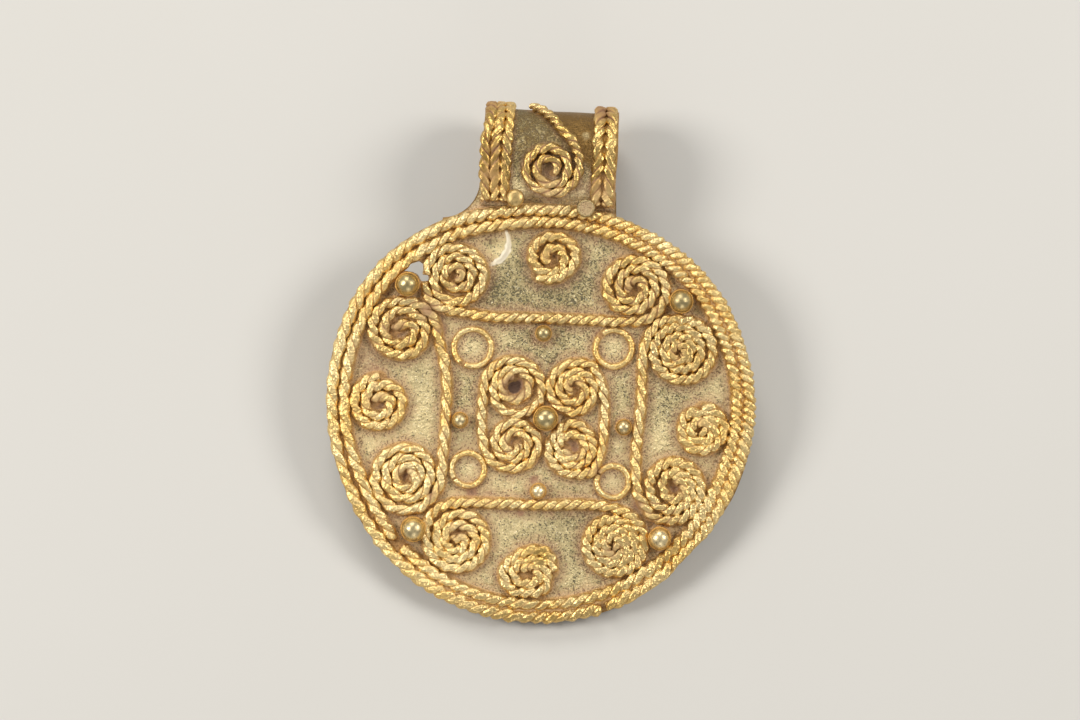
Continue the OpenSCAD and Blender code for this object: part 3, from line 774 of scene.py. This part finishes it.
ribWire = dict(ropeWire, strand=0.39, lozenge=0.8, press=0.78, bed=0.4, fill=0.34, rings=11,
               sway=0.09, rise=0, tall=0.9)
ribs = {
    "heights": (13.3, 16.8, 19.3),
    "sweep": 240,              # degrees round the tube
    # each rope: its twist, and x at the foot, half way up and from the top on
    "Left": ((-1, -3.95, -4.12, -3.82), (1, -3.36, -3.44, -3.24), (-1, -2.76, -2.76, -2.68)),
    "Right": ((1, 3, 3.02, 3.06), (-1, 3.74, 3.8, 3.78)),
}
for side, wire in (("Left", ribWire), ("Right", dict(ribWire, strand=0.41, tall=0.86))):
    bm = bmesh.new()
    addLayers(bm, "grimeAndShade")
    top = loop["y"] + loop["out"] * math.radians(ribs["sweep"])
    for k, (twist, *xs) in enumerate(ribs[side]):
        points = [(x, y, 1) for x, y in zip(xs + xs[-1:], ribs["heights"] + (top,))]
        route = evenly(runThrough(points))
        twistStrands(bm, route, dict(wire, twist=twist), onLoop, seed=3.1 * k + len(side))
    finishPiece("bailRib" + side, bm, wireMaterial)
print("twisted wires laid")


# Plain wire rings

rings = {
    # x, y, outside radius, angle and width of the gap in degrees, thickness
    "TopLeft": (-4.32, 4.22, 1.35, 238, 16, 0.34),
    "TopRight": (4.58, 4.18, 1.34, 136, 18, 0.37),
    "BottomLeft": (-4.62, -3.46, 1.21, 215, 8, 0.34),
    "BottomRight": (4.52, -4.26, 1.19, 150, 6, 0.35),
}


def treadRound(x, y, r, half, count):
    for k in range(count):
        a = math.radians(360 / count * k)
        trodden.append((x + r * math.cos(a), y + r * math.sin(a), half))


for corner, (x, y, r, gap, width, d) in rings.items():
    bm = bmesh.new()
    grimeAndShade = addLayers(bm, "grimeAndShade")[0]
    spot = (Matrix.Rotation(math.radians(gap + width / 2), 4, "Z")
            @ Matrix.Translation((r - d / 2, 0, 0)) @ Matrix.Rotation(math.pi / 2, 4, "X"))
    edges = circleEdges(bm, 14, d / 2, spot)
    bmesh.ops.spin(bm, geom=edges, cent=(0, 0, 0), axis=(0, 0, 1), dvec=(0, 0, 0),
                   angle=math.radians(360 - width), steps=80, use_merge=False)
    fillEnds(bm)
    for v in bm.verts:
        # dirt on the ring's underside, with painted shade in a darker brown where it goes deepest
        v[grimeAndShade] = 0.9 * (1 - smoothStep(-0.9, 0.0, v.co.z / (d / 2)))
        dent = 1 + 0.04 * wander(v.co.x * 1.2 + x, v.co.y * 1.2 + y)
        v.co = onPlate(x + v.co.x * dent, y + v.co.y * dent, min(v.co.z, 0.43 * d) + d / 2 - 0.03)
    finishPiece("wireRing" + corner, bm, wireMaterial)
    treadRound(x, y, r - d / 2, d / 2, 72)


# Granules

granules = {
    # x, y, width of the collar, radius of the ball
    "Centre": (0.3, -0.24, 1.6, 0.7),
    "CornerTopLeft": (-8.42, 8.22, 1.54, 0.68),
    "CornerTopRight": (8.84, 7.14, 1.54, 0.66),
    "CornerBottomLeft": (-8.06, -7.22, 1.62, 0.72),
    "CornerBottomRight": (7.48, -7.82, 1.5, 0.66),
    "SideTop": (0.16, 5.12, 1.04, 0.46),
    "SideLeft": (-5.12, -0.35, 1.04, 0.45),
    "SideBottom": (-0.18, -4.84, 1.04, 0.45),
    "SideRight": (5.22, -0.81, 1.04, 0.44),
}
# how far each ball is painted paler: painted highlight where it catches the light, and rubbed metal
rubAndHighlight = {"SideBottom": 0.95, "SideLeft": 0.4, "SideRight": 0.3, "CornerBottomRight": 0.6,
          "CornerBottomLeft": 0.3}
# the collar that each sits in, a low cup: half its section, as shares of its width
collar = ((0.7, 0), (0.9, 0.2), (0.99, 0.36), (1, 0.46), (0.95, 0.52), (0.88, 0.5), (0.8, 0.4))


def turnRound(bm, section, steps):
    edges = [bm.edges.new(pair) for pair in zip(section, section[1:])]
    bmesh.ops.spin(bm, geom=section + edges, cent=(0, 0, 0), axis=(0, 0, 1), dvec=(0, 0, 0),
                   angle=2 * math.pi, steps=steps, use_merge=True)


for place, (x, y, d, ball) in granules.items():
    bm = bmesh.new()
    grimeAndShade, bare = addLayers(bm, "grimeAndShade", "bare")
    bmesh.ops.create_uvsphere(bm, u_segments=40, v_segments=24, radius=ball,
                              matrix=Matrix.Translation((0, 0, d * 0.98 - ball)))
    for v in bm.verts:
        v[bare] = rubAndHighlight.get(place, 0.0)
    section = [bm.verts.new((u * d / 2, 0, h * d)) for u, h in collar]
    for v in section:
        v[grimeAndShade] = 1.0
    turnRound(bm, section, 40)
    for v in bm.verts:
        dent = 1 + 0.05 * wander(v.co.x * 1.4 + x, v.co.y * 1.4 + y, v.co.z)
        v.co = onPlate(x + v.co.x * dent, y + v.co.y * dent, v.co.z - 0.01)
    finishPiece("granule" + place, bm, beadMaterial)
    treadRound(x, y, 0.4 * d, 0.1 * d, 36)

footGranules = {
    "r": 0.58,
    "h": 0.5,
    "lift": 0.78,
    # middle, material, and half the section from the middle out: one domed, one worn flat
    "Left": (-1.62, 13.62, beadMaterial,
             ((0, 1), (0.3, 0.98), (0.55, 0.92), (0.75, 0.82), (0.9, 0.66), (0.98, 0.48),
              (0.95, 0.24), (0.6, 0), (0, 0))),
    "Right": (2.82, 12.98, sheetMaterial,
              ((0, 0.93), (0.45, 0.92), (0.7, 0.9), (0.8, 0.98), (0.9, 0.98), (0.98, 0.84),
               (1, 0.55), (0.9, 0.16), (0.6, 0), (0, 0))),
}
for side in ("Left", "Right"):
    x, y, material, half = footGranules[side]
    r = footGranules["r"]
    bm = bmesh.new()
    near, patina, brown, soil, grimeAndShade = addLayers(bm, "near", "patina", "brown", "soil", "grimeAndShade")
    section = [bm.verts.new((u * r, 0, h * footGranules["h"])) for u, h in half]
    for v in section:
        rim = smoothStep(0.72, 0.86, v.co.x / r)
        v[near] = 0.3 + 1.0 * rim
        v[patina] = -0.3
        v[soil] = 0.05 - 0.4 * rim
        v[brown] = 0.3 + 0.3 * rim
        v[grimeAndShade] = 0.4
    turnRound(bm, section, 32)
    bmesh.ops.remove_doubles(bm, verts=bm.verts, dist=0.001)
    for v in bm.verts:
        dent = 1 + 0.05 * wander(v.co.x * 1.4 + x, v.co.y * 1.4 + y)
        v.co = onPlate(x + v.co.x * dent, y + v.co.y * dent, v.co.z + footGranules["lift"])
    finishPiece("granuleFoot" + side, bm, material)
print("rings and granules set")


# The plate

plate = {
    "half": 14.7,                        # of the square that it is cut from
    "cells": 245,
    "under": (0.09, 0),                  # how far the rim is dressed back, and at the lower right
    "tongue": (-3.85, 4.75, 14.1),       # left, right, top
    "flare": (-6.25, 14.85, 2.4),        # the concave sweep's middle and radius
    "hole": [(-8.7, 9.1), (-8.3, 9.5), (-7.7, 9.7), (-7.4, 9.45), (-7.45, 9.15), (-7.1, 8.75),
             (-7.1, 8.45), (-7.55, 8.4), (-7.8, 8.85), (-8.1, 9)],
    "holeBox": (-9.2, -6.6, 7.9, 10.2),  # left, right, low, high
    "tear": (-3.5, 10.9, 1.36, 0.18),    # the lip's middle, radius and height
    "lip": 0.3,                          # width of its outer side
    "fine": 1.9,                         # radius of the finer mesh round it
    "smears": [(-3.2, 10.9, 0.4, 1), (-4.2, 11.4, 0.3, 0.8), (-3, 11.6, 0.25, 0.7)],
    # soft patches of dark specks
    "patches": [(1.5, 8.8, 3.6, 1), (-3.2, 7.6, 2.2, 0.9), (-4.8, 1.6, 1.6, 0.6),
                (5, 2, 1.6, 0.5), (8.5, 0.9, 2, 0.6), (2.2, -7.4, 2.4, 0.6),
                (0.3, 3.8, 2.6, 0.45), (-9.4, 4, 1.2, 0.7), (7.5, 5.8, 1.4, 0.5)],
}


def outlineAt(angle):
    # the plate's edge along a ray from the middle: the rim, the tongue and the sweep beside it
    a = math.radians(angle)
    c, s = math.cos(a), math.sin(a)
    under = plate["under"][0] + (plate["under"][1] - plate["under"][0]) * sideOn(angle)
    reach = rimAt(angle, 0) - wornAt(angle) - under
    left, right, top = plate["tongue"]
    if s > 0.5:
        t = top / s
        if not left <= t * c <= right:
            t = (right if c > 0 else left) / c
        reach = max(reach, t)
    fx, fy, fr = plate["flare"]
    towards = fx * c + fy * s
    gap = towards * towards - (fx * fx + fy * fy) + fr * fr
    if gap > 0:
        t = towards - math.sqrt(gap)
        if fx <= t * c <= left and t * s > 12.0:
            reach = max(reach, t)
    return reach


outline = [outlineAt(k / 4) for k in range(1440)]


def edgeAt(x, y):
    place = (math.degrees(math.atan2(y, x)) % 360) * 4
    i = int(place)
    return outline[i % 1440] + (outline[(i + 1) % 1440] - outline[i % 1440]) * (place - i)


def insideHole(x, y):
    inside = False
    pts = plate["hole"]
    for (ax, ay), (bx, by) in zip(pts, pts[1:] + pts[:1]):
        if (ay > y) != (by > y) and x < ax + (bx - ax) * (y - ay) / (by - ay):
            inside = not inside
    return inside


def ontoHole(spot):
    pts = [Vector(p) for p in plate["hole"]]
    found = []
    for a, b in zip(pts, pts[1:] + pts[:1]):
        u = min(max((spot - a).dot(b - a) / (b - a).length_squared, 0), 1)
        found.append(a.lerp(b, u))
    return min(found, key=lambda p: (p - spot).length)


trail = treeOf(trodden)


def fromTear(x, y):
    tx, ty, _, _ = plate["tear"]
    return math.hypot(x - tx, y - ty), math.degrees(math.atan2(y - ty, x - tx))


def relief(x, y, near):
    lift = 0.03 * wander(x * 0.4, y * 0.4) + 0.015 * wander(x * 1.3, y * 1.3, 4)
    lift += 0.12 * (1 - smoothStep(-0.05, 0.22, near))   # the fillet of solder beside a wire
    # more of it between the two border wires, which have run together but for the left side
    a = math.degrees(math.atan2(y, x))
    groove = (rimAt(a, 1) + rimAt(a, 2)) / 2 + borderWire["outwards"]
    groove -= sum(borderWire["inset"]) / 2 * sideOn(a)
    run = 0.14 + 0.26 * (smoothStep(222, 240, a % 360) + 1 - smoothStep(50, 90, a % 360))
    lift += run * (1 - smoothStep(0.1, 0.3, abs(math.hypot(x, y) - groove)))
    _, _, tr, th = plate["tear"]
    rho, a = fromTear(x, y)
    ends = smoothStep(-80, -50, a) * (1 - smoothStep(18, 40, a))
    if rho < tr:
        lift += th * ends * smoothStep(0.2, 1.0, rho / tr)
    else:
        lift += th * ends * (1 - smoothStep(0.0, plate["lip"], rho - tr))
    return lift


def makePlate():
    bm = bmesh.new()
    bmesh.ops.create_grid(bm, x_segments=plate["cells"], y_segments=plate["cells"],
                          size=plate["half"])
    for v in bm.verts:
        v.tag = math.hypot(*v.co.xy) > edgeAt(*v.co.xy) - 0.03
    gone = [f for f in bm.faces if sum(v.tag for v in f.verts) > 1
            or insideHole(*f.calc_center_median().xy)]
    bmesh.ops.delete(bm, geom=gone, context="FACES")
    bmesh.ops.delete(bm, geom=[v for v in bm.verts if not v.link_faces], context="VERTS")
    fine = [e for e in bm.edges if fromTear(*e.verts[0].co.xy)[0] < plate["fine"]]
    bmesh.ops.subdivide_edges(bm, edges=fine, cuts=2, use_grid_fill=True)
    near, patina, brown, lipHighlight = addLayers(bm, "near", "patina", "brown", "lipHighlight")
    left, right, low, high = plate["holeBox"]
    for v in bm.verts:
        if v.is_boundary or v.tag:
            if left < v.co.x < right and low < v.co.y < high:
                v.co.xy = ontoHole(v.co.xy)
            else:
                v.co.xy = v.co.xy.normalized() * edgeAt(*v.co.xy)
    for v in bm.verts:
        x, y = v.co.xy
        _, k, away = trail.find((x, y, 0))
        v[near] = away - trodden[k][2]
        v[brown] = smoothStep(-0.2, -0.04, v.co.xy.length - edgeAt(x, y))
        v[patina] = min(patchAt(plate["patches"], x, y), 1.2)
        v.co.z = layOut["plateT"] + relief(x, y, v[near])
        # the torn lip's painted highlight: a near-white crescent along its ridge
        rho, a = fromTear(x, y)
        torn = smoothStep(-84, -66, a) * (1 - smoothStep(22, 36, a))
        wide = 0.08 + 0.12 * smoothStep(-84, -50, a) * (1 - smoothStep(-15, 25, a))
        ridge = 1.46 + 0.06 * wander(a * 0.07, 3.0) + 0.05 * wander(x * 4, y * 4, 1)
        v[lipHighlight] = torn * (1 - smoothStep(wide * 0.7, wide * 1.3, abs(rho - ridge)))
        if rho < plate["tear"][2] + plate["lip"]:
            v[patina] = 0.3 * v[patina] + patchAt(plate["smears"], x, y)
    # the flat back, with walls down to it
    soil = addLayers(bm, "soil")[0]
    made = bmesh.ops.extrude_face_region(bm, geom=bm.faces[:], use_keep_orig=True)["geom"]
    for v in [g for g in made if isinstance(g, bmesh.types.BMVert)]:
        x, y = v.co.xy
        v.co.z = 0.02 * wander(x * 0.5, y * 0.5, 6)
        v[near] = 1.2
        v[patina] = 0.2 + 0.8 * wander(x * 0.2, y * 0.2, 5)
        v[soil] = 0.15 - patchAt(marks["soil"], x, y)
        v[lipHighlight] = 0.0
    finishPiece("plate", bm, sheetMaterial, ["disc_plate"])


makePlate()
print("plate made")


# The loop

def makeLoop():
    bm = bmesh.new()
    low = loop["low"]
    high = loop["y"] + loop["out"] * math.radians(loop["turn"])
    bmesh.ops.create_grid(bm, x_segments=60, y_segments=160, size=0.5)
    near, patina, brown = addLayers(bm, "near", "patina", "brown")
    marked = [(p.x, p.y) for p in loopRoute["spots"]]
    for x in (-4.2, -3.72, -3.2, -2.66, 2.94, 3.4, 3.78, 4.15):
        marked += [(x, 13.4 + 0.1 * k) for k in range(160)]
    loopTrail = treeOf(marked)
    for v in bm.verts:
        y = low + (v.co.y + 0.5) * (high - low)
        half = loop["w"] / 2 + 0.05 * wander(y * 0.8, v.co.x * 9)
        x = v.co.x * 2 * half
        v[near] = 2 * (loopTrail.find((x, y, 0))[2] - 0.2)
        # specks to the left of the coil's tail, brass brown to the right of it
        beyond = smoothStep(-0.3, 0.3, x - 1.86 + 0.776 * (y - 16.3))
        v[patina] = 0.1 + 1.25 * smoothStep(14.5, 16.5, y) * (1 - beyond)
        v[brown] = 0.05 + (0.35 + 0.9 * beyond) * smoothStep(14.5, 16.8, y)
        # painted highlights: less brown on the right panel where it catches the light
        v[brown] -= patchAt(loop["bare"], x, y)
        ramp = 0.4 * (1 - smoothStep(13.0, 14.0, y + 0.2 * wander(x * 0.7, 3)))
        filled = smoothStep(-4.3, -4.1, x) - smoothStep(-2.7, -2.5, x) + smoothStep(2.9, 3.1, x)
        v.co = onLoop(x, y, 0.14 * filled - 0.02 - ramp + 0.04 * wander(x * 0.5, y * 0.5, 2))
    piece = finishPiece("bailLoop", bm, sheetMaterial)
    sheet = piece.modifiers.new("thickness", "SOLIDIFY")
    sheet.thickness = loop["t"] / 1000
    sheet.offset = -1


makeLoop()
print("loop made")


# Floor, lights and camera

stage = {
    "floor": "#CFCCC6",
    "floorWorn": "#C9C6BF",
    "noises": ((0.02, 3),),
    "floorHalf": 1.5,          # metres
    "world": 0.3,
    "lamp": (1, 0.985, 0.96),
    "lens": 135,
    "sensor": 36,
    "width": 1080 * 0.06308,   # mm of the pendant that the picture is wide
    "centre": (-0.063, 3.438, 0.9),
}


def makeFloor():
    # matt card, very slightly uneven in colour, so that nothing but the pendant draws the eye
    material, tree, _, (uneven,), _ = startMaterial("pale card floor", stage["noises"])
    colour = addNode(tree, "Mix",
                     {"data_type": "RGBA", 6: srgb(stage["floor"]), 7: srgb(stage["floorWorn"])},
                     {0: uneven})
    closeMaterial(tree, {"Roughness": 0.8}, {"Base Color": colour})
    bm = bmesh.new()
    bmesh.ops.create_grid(bm, x_segments=1, y_segments=1, size=stage["floorHalf"])
    floor = makeObject("floor", bm, material)


makeFloor()
world = bpy.data.worlds.new("studio")
world.use_nodes = True
background = world.node_tree.nodes["Background"]
background.inputs["Color"].default_value = (1, 1, 1, 1)
background.inputs["Strength"].default_value = stage["world"]
bpy.context.scene.world = world

lights = {
    # where from (in the pendant's frame), distance in mm, size in mm, watts
    "left": ((-0.72, 0.18, 0.66), 380, 150, 0.8),
    "right": ((0.7, 0.26, 0.64), 380, 150, 0.66),
    "top": ((-0.15, 0.85, 0.5), 380, 170, 0.52),
    "low": ((0.15, -0.85, 0.5), 380, 170, 0.2),
}
middle = toRest @ Vector((0, 2, 0.5))
for name, (way, distance, size, watts) in lights.items():
    lamp = bpy.data.lights.new(name, "AREA")
    lamp.shape = "DISK"
    lamp.size = size / 1000
    lamp.energy = watts
    lamp.color = stage["lamp"]
    holder = bpy.data.objects.new(name, lamp)
    out = (faceTurn @ Vector(way)).normalized()
    holder.location = middle + out * distance / 1000
    holder.rotation_euler = (-out).to_track_quat("-Z", "Y").to_euler()
    bpy.context.scene.collection.objects.link(holder)

cameraData = bpy.data.cameras.new("camera")
cameraData.lens = stage["lens"]
cameraData.sensor_width = stage["sensor"]
cameraData.clip_start = 0.01
cameraData.clip_end = 10
camera = bpy.data.objects.new("camera", cameraData)
distance = stage["width"] * stage["lens"] / stage["sensor"]
x, y, z = stage["centre"]
camera.matrix_world = Matrix.Translation(toRest @ Vector((x, y, z + distance))) @ faceTurn
bpy.context.scene.collection.objects.link(camera)
bpy.context.scene.camera = camera
bpy.context.scene.view_settings.view_transform = "Standard"
print("stage set")
